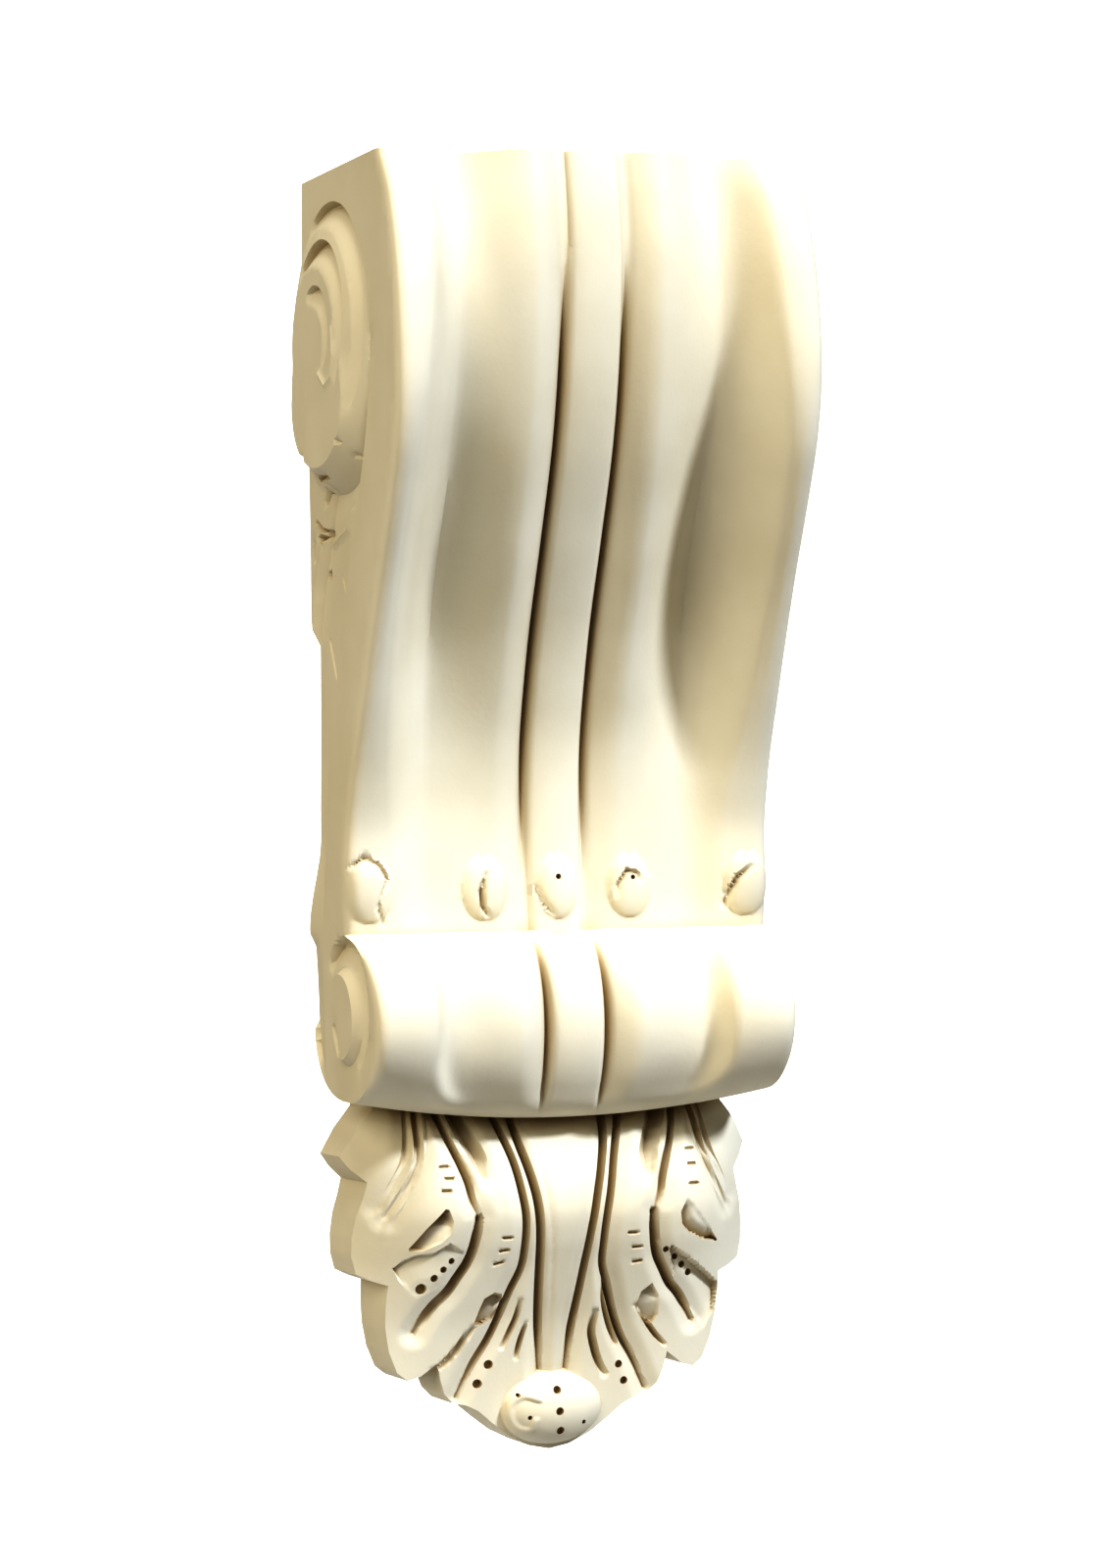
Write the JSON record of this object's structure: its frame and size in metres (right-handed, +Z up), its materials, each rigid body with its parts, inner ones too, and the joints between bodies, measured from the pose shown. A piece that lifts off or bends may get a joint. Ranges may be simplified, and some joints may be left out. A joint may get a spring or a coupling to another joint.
{
  "type": "corbel",
  "caption": "Scroll-shaped wall bracket with a fluted front, a rolled foot and a leaf pendant, cast in one piece.",
  "frame": {"origin": "middle of the flat back, half way up", "axes": "+Z up, -Y out from the wall towards the viewer, +X to the viewer's right"},
  "size_m": [0.2212, 0.1575, 0.602],
  "materials": {
    "plaster": "matte cast plaster, cream"
  },
  "bodies": {
    "root": {"corbel": "plaster"}
  },
  "joints": []
}
